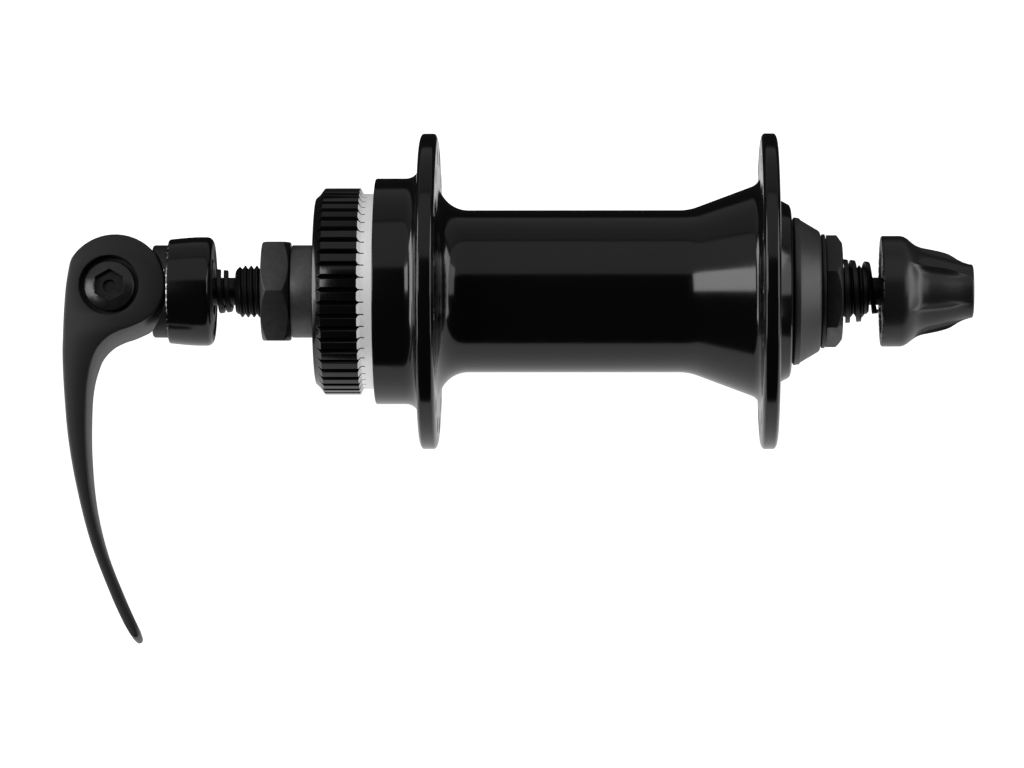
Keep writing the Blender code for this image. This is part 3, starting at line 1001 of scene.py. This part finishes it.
@dataclass
class Clamp(SkewerPart):
    """Metal cup, plastic saddle and left spring."""

    cup: tuple[float, float] = (-66.1, -58.4)
    saddle: tuple[float, float] = (-68.9, -64.4)
    saddle_r: float = 8.0
    head_x: float = -75.18
    head_z: float = 0.15
    head_r: float = 8.78
    rod_room: float = 2.9

    def build_cup(self) -> None:
        """Barrelled cup with a rolled inner edge and a clamping face with a shallow ring groove.
        """
        low, high = self.cup
        outline = [(low, 8.3), (low, 8.85), (low + 0.18, 9.0)]
        outline += flowing([(-65.4, 9.06), (-63.4, 9.26), (-61.4, 9.39), (-59.7, 9.4)], 4)
        outline += arc(high - 1.2, 8.2, 1.2, 84, 0, 8)
        outline += [(high, 7.7), (high - 0.3, 7.4), (high - 0.3, 5.6), (high, 5.3)]
        outline += [(high, 4.2), (high - 0.35, 3.9), (high - 0.35, self.rod_room)]
        outline += [(low + 1.9, self.rod_room), (low + 1.9, 8.3)]
        obj = turned("clamp_cup_barrel", outline, 160)
        coat(shade(obj, 28), GlossPlating("cup_plating", low), MouldedPlastic("cup_inside"))
        for face in obj.data.polygons:
            _, y, z = face.center / MM
            inside = math.hypot(y, z) < 8.25
            face.material_index = int(inside or face.normal.x > 0.9)
        self.park(obj)
        fit(obj, "clamp_cup", "skewer_clamp")

    def build_saddle(self) -> None:
        """Block with the round hollow that the lever head rolls in."""
        low, high = self.saddle
        outline = [(low, self.rod_room), (low, self.saddle_r), (high, self.saddle_r)]
        outline.append((high, self.rod_room))
        obj = soften(turned("clamp_saddle_block", outline, 128), 0.4, 3)
        for drop, room in ((0.0, 0.15), (1.1, 0.4)):
            centre = (self.head_x, 0, self.head_z - drop)
            shape(obj, drum("hollow", centre, self.head_r + room, 30, 128))
        soften(obj, 0.12, 2, 40)
        coat(shade(obj), MouldedPlastic("saddle_plastic", 0.008, 0.4))
        self.park(obj)
        fit(obj, "clamp_saddle", "skewer_clamp")

    def build_spring(self) -> None:
        """Short conical spring against the axle's end."""
        section = [(-0.42, -0.8), (-0.42, -0.12), (-0.3, 0), (0.3, 0), (0.42, -0.12), (0.42, -0.8)]
        ring = [(x, 3.7 + r) for x, r in section]
        obj = wound("spring_left_coil", ring, -57.65, 1.28, 1.8, 48)
        taper(obj, 3.7, lambda x: 3.95 - 0.45 * (x + 58.4) / 3.6)
        coat(shade(obj, 40), BlackSteel("spring_left_steel", 0.03, 0.32))
        fit(self.park(obj), "spring_left", "skewer_clamp")

    def build(self) -> None:
        """Build the clamp."""
        self.build_cup()
        self.build_saddle()
        self.build_spring()


@dataclass
class DrawRod(SkewerPart):
    """Skewer rod with the eye for the pivot pin."""

    pivot_x: float = -76.1
    end_x: float = 70.8
    rod_r: float = 2.38

    def build(self) -> None:
        """Turn the rod, join its eye and drill it."""
        outline = [(self.pivot_x, 0), (self.pivot_x, self.rod_r), (self.end_x - 0.5, self.rod_r)]
        outline += [(self.end_x, 1.9), (self.end_x, 0)]
        obj = turned("skewer_rod_bar", outline, 64)
        shape(obj, drum("eye", (self.pivot_x, 0, 0), 3.88, 5.6, 96), "UNION")
        shape(obj, drum("eye_bore", (self.pivot_x, 0, 0), 2.57, 20, 96))
        soften(obj, 0.12)
        coat(shade(obj), BlackSteel("rod_steel", 0.02, 0.32))
        fit(self.park(obj), "skewer_rod", "draw_rod")


@dataclass
class CamLever(SkewerPart):
    """Cam lever and the socket screw that it turns on."""

    pivot_x: float = -76.1
    head_x: float = -75.18
    head_z: float = 0.15
    head_r: float = 8.78
    half: float = 6.25
    tip_half: float = 4.4
    slot_half: float = 3.1

    def outline(self) -> Profile:
        """Lever seen along its pivot: arm, tip, inner curve and head disc."""
        left = [(-82.95, 3.9), (-83.33, 1.6), (-83.6, -0.8), (-83.8, -4.5), (-83.89, -8.5)]
        left += [(-83.89, -12.6), (-83.45, -19.5), (-82.65, -27.0), (-81.1, -35.2)]
        left += [(-78.6, -44.5), (-75.05, -53.5), (-72.75, -58.4)]
        tip = [(-71.75, -60.1), (-71.0, -60.78), (-70.3, -60.65), (-70.15, -60.0)]
        right = [(-70.65, -58.6), (-73.1, -53.4), (-76.4, -45.3), (-78.5, -37.0)]
        right += [(-79.5, -28.0), (-79.65, -20.0), (-79.3, -15.6), (-78.4, -12.2)]
        right += [(-77.5, -10.5), (-76.05, -9.05), (-74.2, -8.05), (-72.3, -7.4)]
        right.append((-70.2, -6.45))
        points = flowing(left, 6) + flowing(tip, 3) + flowing(right, 6)
        return points + arc(self.head_x, self.head_z, self.head_r, -35, 148, 72)

    def build_lever(self) -> None:
        """Cut the arm from plate, thin it to its tip and open its head."""
        obj = outline_plate("lever_arm", self.outline(), self.half, 0.55)

        def thin(spot: Vector) -> Vector:
            """Narrow the arm along Y towards its tip."""
            share = min(max((-spot.z - 14.0) / 46.0, 0.0), 1.0)
            width = 1 + (self.tip_half / self.half - 1) * share
            return Vector((spot.x, spot.y * width, spot.z))

        move_points(obj, thin)
        shape(obj, self.slot())
        shape(obj, drum("eye_room", (self.pivot_x, 0, 0), 4.4, 2 * self.slot_half - 0.02, 96))
        shape(obj, drum("pin_bore", (self.pivot_x, 0, 0), 2.52, 20, 64))
        shape(obj, drum("pin_pocket", (self.pivot_x, -6.55, 0), 5.1, 4.9, 96))
        rim = drum("pocket_rim", (self.pivot_x, -self.half, 0), 5.1, 0.6, 96)

        def flare(spot: Vector) -> Vector:
            """Open the outer end of the rim cutter."""
            wide = 1.06 if spot.y < -self.half else 1.0
            x = self.pivot_x + (spot.x - self.pivot_x) * wide
            return Vector((x, spot.y, spot.z * wide))

        move_points(rim, flare)
        shape(obj, rim)
        coat(shade(obj, 24), BrushedBlack("lever_black"))
        fit(self.park(obj), "lever", "cam_lever")

    def slot(self) -> bpy.types.Object:
        """Cutter for the slot that lets the rod swing through the head."""
        bpy.ops.object.select_all(action="DESELECT")
        bpy.ops.mesh.primitive_cube_add(size=MM)
        obj = named("slot")
        obj.scale = (30, 2 * self.slot_half, 14.9)
        obj.location = Vector((-75, 0, 4.55)) * MM
        return settle(obj)

    def build_pin(self) -> None:
        """Turn the screw, then sink its hexagon socket and drill point."""
        outline = [(-6.0, 0), (-6.0, 2.6), (-5.62, 4.2), (-5.5, 4.38), (-4.3, 4.38)]
        outline += [(-4.3, 2.38), (5.9, 2.38), (6.1, 2.2), (6.1, 0)]
        obj = soften(turned("pivot_screw", outline, 96), 0.08)
        obj.rotation_euler.z = math.pi / 2
        settle(obj)
        obj.location.x = self.pivot_x * MM
        settle(obj)
        corner = 5.0 / math.sqrt(3)
        shape(obj, drum("socket", (self.pivot_x, -6.3, 0), corner, 3.0, 6, "Y", 0))
        shape(obj, drum("drill_point", (self.pivot_x, -4.7, 0), 1.2, 1.4, 32))
        soften(obj, 0.06, 1, 50)
        coat(shade(obj), BlackSteel("pivot_screw_steel", 0.05, 0.16, 0.7))
        fit(self.park(obj), "pivot_pin", "cam_lever")

    def build(self) -> None:
        """Build the lever and its screw."""
        self.build_lever()
        self.build_pin()


@dataclass
class ThumbNut(SkewerPart):
    """Acorn-shaped thumb nut and the right spring."""

    start: float = 56.7
    base_r: float = 9.55
    lobes: int = 6
    ridge_angle: float = 24.0
    ridge_power: int = 9
    steps: int = 32
    spring: tuple[float, float] = (50.6, 56.02)
    spring_turns: float = 2.6
    spring_gather: float = 1.6

    def stations(self) -> list[tuple[float, float, float]]:
        """Distance along, radius at a ridge and radius in a hollow."""
        marks = [(0.0, 9.3, 9.3), (0.1, 9.46, 9.46), (0.28, self.base_r, self.base_r)]
        marks += [(3.3, self.base_r, self.base_r), (3.9, 9.42, 9.42), (4.5, 9.08, 9.08)]
        marks += [(5.0, 8.7, 8.66), (5.5, 8.34, 8.2), (6.0, 8.02, 7.6), (6.5, 7.8, 7.15)]
        marks += [(7.2, 7.6, 6.75), (8.4, 7.38, 6.4), (9.8, 7.1, 6.08), (11.0, 6.78, 5.76)]
        marks += [(11.8, 6.5, 5.52), (12.6, 6.0, 5.28), (13.4, 5.45, 5.05), (14.2, 5.05, 4.82)]
        marks += [(15.2, 4.7, 4.66), (15.65, 4.62, 4.62), (15.82, 4.5, 4.5), (15.9, 4.28, 4.28)]
        return marks

    def build_nut(self) -> None:
        """Draw the nut out ring by ring, press its six hollows and bore it."""
        count = self.lobes * self.steps
        first, second, *later = self.stations()
        obj = drum("acorn_nut_body", (self.start + 0.5, 0, 0), first[1], 1.0, count, "X")
        with editing(obj) as mesh:
            bpy.ops.mesh.select_all(action="DESELECT")
            for face in mesh.faces:
                face.select_set(face.normal.x > 0.9)
            bpy.ops.mesh.select_mode(type="FACE")
            at, r = second[:2]
            bpy.ops.transform.translate(value=((at - 1.0) * MM, 0, 0))
            self.widen(first[1], r, at)
            for along, ridge, _ in later:
                move = {"value": ((along - at) * MM, 0, 0)}
                bpy.ops.mesh.extrude_region_move(TRANSFORM_OT_translate=move)
                self.widen(r, ridge, along)
                at, r = along, ridge
        move_points(obj, self.press)
        low = self.start
        bore = [(low - 1, 0), (low - 1, 7.6), (low + 0.35, 7.3), (low + 0.35, 4.9)]
        bore += [(low + 0.9, 4.6), (low + 0.9, 2.55), (low + 14.6, 2.55), (low + 14.9, 0)]
        shape(obj, turned("nut_bore", bore, 96))
        shape(obj, self.serrations())
        coat(shade(obj, 24), Anodised("acorn_black", 0.014, 0.27, 0.0004, 0.5))
        fit(self.park(obj), "acorn_nut", "thumb_nut")

    def widen(self, before: float, after: float, along: float) -> None:
        """Scale the selected end face to a new radius."""
        share = after / before
        centre = ((self.start + along) * MM, 0, 0)
        bpy.ops.transform.resize(value=(1, share, share), center_override=centre)

    def press(self, spot: Vector) -> Vector:
        """Press the hollows between the ridges."""
        r = math.hypot(spot.y, spot.z)
        along = spot.x - self.start
        if r < 1e-6:
            return spot
        angle = math.degrees(math.atan2(spot.z, -spot.y)) - self.ridge_angle
        share = abs((angle / 60.0) % 1.0 - 0.5) * 2
        ridge, hollow = self.radii(along)
        wanted = hollow + (ridge - hollow) * share**self.ridge_power
        return Vector((spot.x, spot.y * wanted / ridge, spot.z * wanted / ridge))

    def radii(self, along: float) -> tuple[float, float]:
        """Ridge and hollow radius at a distance along the nut."""
        marks = self.stations()
        nearest = min(marks, key=lambda mark: abs(mark[0] - along))
        return nearest[1], nearest[2]

    def serrations(self) -> bpy.types.Object:
        """Radial notches across the clamping face."""
        bpy.ops.object.select_all(action="DESELECT")
        bpy.ops.mesh.primitive_cube_add(size=MM)
        notch = named("notch")
        notch.scale = (0.5, 0.4, 3.2)
        notch.location = Vector((self.start, 0, 8.9)) * MM
        notch.rotation_euler.z = math.pi / 4
        return copy_round(settle(notch), 36)

    def build_spring(self) -> None:
        """Conical spring of flat wire, wide round the axle's end."""
        section = [(-0.42, -0.42), (-0.42, -0.1), (-0.32, 0), (0.32, 0)]
        section += [(0.42, -0.1), (0.42, -0.42)]
        ring = [(x, 5.6 + r) for x, r in section]
        low, high = self.spring
        obj = wound("spring_right_coil", ring, low, 0, self.spring_turns, 60)
        rings = len(obj.data.vertices) // len(section)
        for number, vert in enumerate(obj.data.vertices):
            share = (number // len(section)) / (rings - 1)
            vert.co.x += (high - low) * MM * share**self.spring_gather
        taper(obj, 5.6, self.spring_radius)
        coat(shade(obj, 40), BlackSteel("spring_right_steel", 0.03, 0.32))
        fit(self.park(obj), "spring_right", "nut_carrier")

    def spring_radius(self, x: float) -> float:
        """Outer radius of the spring: wide round the axle's end, then narrow on the rod."""
        if x < 54.8:
            return 5.58 - 0.5 * (x - 50) / 4.8
        return max(3.85, 5.08 - 2.0 * (x - 54.8))

    def build(self) -> None:
        """Build the nut and its spring."""
        self.build_nut()
        self.build_spring()


# ------------------------------------------------------------------- studio


@dataclass
class SoftBox:
    """A plain rectangular light aimed at the hub.

    Attributes:
        name: Name of the light.
        azimuth: Degrees round from the camera's side, positive towards +X.
        elevation: Degrees above the hub.
        size: Width and height in millimetres.
        radiance: Brightness of its face.
        distance: Distance from the hub in millimetres.
    """

    name: str
    azimuth: float
    elevation: float
    size: tuple[float, float]
    radiance: float
    distance: float = 900.0

    def build(self) -> None:
        """Hang the light."""
        data = bpy.data.lights.new(self.name, "AREA")
        data.shape = "RECTANGLE"
        data.size, data.size_y = (side * MM for side in self.size)
        data.energy = self.radiance * math.pi * data.size * data.size_y
        lamp = bpy.data.objects.new(self.name, data)
        bpy.context.scene.collection.objects.link(lamp)
        swing, lift = math.radians(self.azimuth), math.radians(self.elevation)
        flat = math.cos(lift)
        way = Vector((math.sin(swing) * flat, -math.cos(swing) * flat, math.sin(lift)))
        lamp.location = way * self.distance * MM
        lamp.rotation_euler = way.to_track_quat("Z", "Y").to_euler()


@dataclass
class Studio:
    """Pale sweep, plain backdrop light, soft boxes and camera."""

    floor_z: float = -66.0
    eye: tuple[float, float, float] = (11.74, -930.0, -16.0)
    aim: tuple[float, float, float] = (-6.9, 0.0, -16.0)
    lens: float = 189.3

    def build_camera(self) -> None:
        """Level camera a little right of the hub's middle."""
        data = bpy.data.cameras.new("view")
        data.lens = self.lens
        data.sensor_width = 36.0
        data.clip_start = 0.01
        camera = bpy.data.objects.new("view", data)
        bpy.context.scene.collection.objects.link(camera)
        camera.location = Vector(self.eye) * MM
        way = Vector(self.aim) - Vector(self.eye)
        camera.rotation_euler = way.to_track_quat("-Z", "Y").to_euler()
        bpy.context.scene.camera = camera

    def build_floor(self) -> None:
        """Pale sheet under the hub that sweeps up behind it."""
        bpy.ops.object.select_all(action="DESELECT")
        bpy.ops.mesh.primitive_plane_add(size=1.0, location=(0, 0, self.floor_z * MM))
        sheet = named("floor")
        sheet.scale = (3.0, 1.2, 1.0)
        sheet.location.y = 0.58
        settle(sheet)
        with editing(sheet) as mesh:
            bpy.ops.mesh.select_mode(type="EDGE")
            for step in range(6):
                bpy.ops.mesh.select_all(action="DESELECT")
                far = max(vert.co.y for vert in mesh.verts)
                for edge in mesh.edges:
                    edge.select_set(all(vert.co.y > far - 1e-5 for vert in edge.verts))
                lift = math.radians(12 + 14 * step)
                move = {"value": (0, 0.05 * math.cos(lift), 0.05 * math.sin(lift))}
                bpy.ops.mesh.extrude_region_move(TRANSFORM_OT_translate=move)
        graph = Graph("pale_floor")
        tone = graph.noise(9.0, 2.0)
        seen = graph.node("ShaderNodeLightPath", {})
        material = graph.dress(
            Base_Color=graph.blend(tone, grey(0.7), grey(0.74)), Roughness=0.85,
            Emission_Color=graph.blend(seen, grey(0.42), grey(1.0)), Emission_Strength=0.95,
        )
        sheet.data.materials.append(material)
        shade(sheet, 60)

    def build_world(self) -> None:
        """White backdrop for the eye, dim room for the reflections."""
        world = bpy.data.worlds.new("room")
        bpy.context.scene.world = world
        world.use_nodes = True
        nodes, links = world.node_tree.nodes, world.node_tree.links
        nodes.clear()
        path = nodes.new("ShaderNodeLightPath")
        room, backdrop = nodes.new("ShaderNodeBackground"), nodes.new("ShaderNodeBackground")
        room.inputs["Color"].default_value = grey(0.012)
        backdrop.inputs["Color"].default_value = grey(1.0)
        backdrop.inputs["Strength"].default_value = 1.05
        mix, out = nodes.new("ShaderNodeMixShader"), nodes.new("ShaderNodeOutputWorld")
        links.new(path.outputs["Is Camera Ray"], mix.inputs[0])
        links.new(room.outputs[0], mix.inputs[1])
        links.new(backdrop.outputs[0], mix.inputs[2])
        links.new(mix.outputs[0], out.inputs["Surface"])

    def build(self) -> None:
        """Set up the whole studio."""
        bpy.context.scene.view_settings.view_transform = "Standard"
        self.build_camera()
        self.build_world()
        self.build_floor()
        SoftBox("overhead_front", 0, 49, (2400, 860), 0.42).build()
        SoftBox("overhead", 0, 102, (2400, 850), 0.22).build()
        SoftBox("key_left", -41, 11, (420, 360), 4.4).build()
        SoftBox("fill_right", 58, 12, (420, 500), 1.6).build()
        SoftBox("side_left", -84, 6, (420, 900), 5.0).build()
        SoftBox("side_right", 84, 6, (420, 900), 3.2).build()


def main() -> None:
    """Build every sub-assembly in order."""
    logging.basicConfig(level=logging.INFO, format="%(message)s")
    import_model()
    Studio().build()
    HubShell().build()
    Bearing(Side.LEFT, -28.5, 9.5).build()
    Bearing(Side.RIGHT, 35.3, 11.0).build()
    AxleSet().build()
    Clamp().build()
    DrawRod().build()
    CamLever().build()
    ThumbNut().build()


if __name__ == "__main__":
    main()
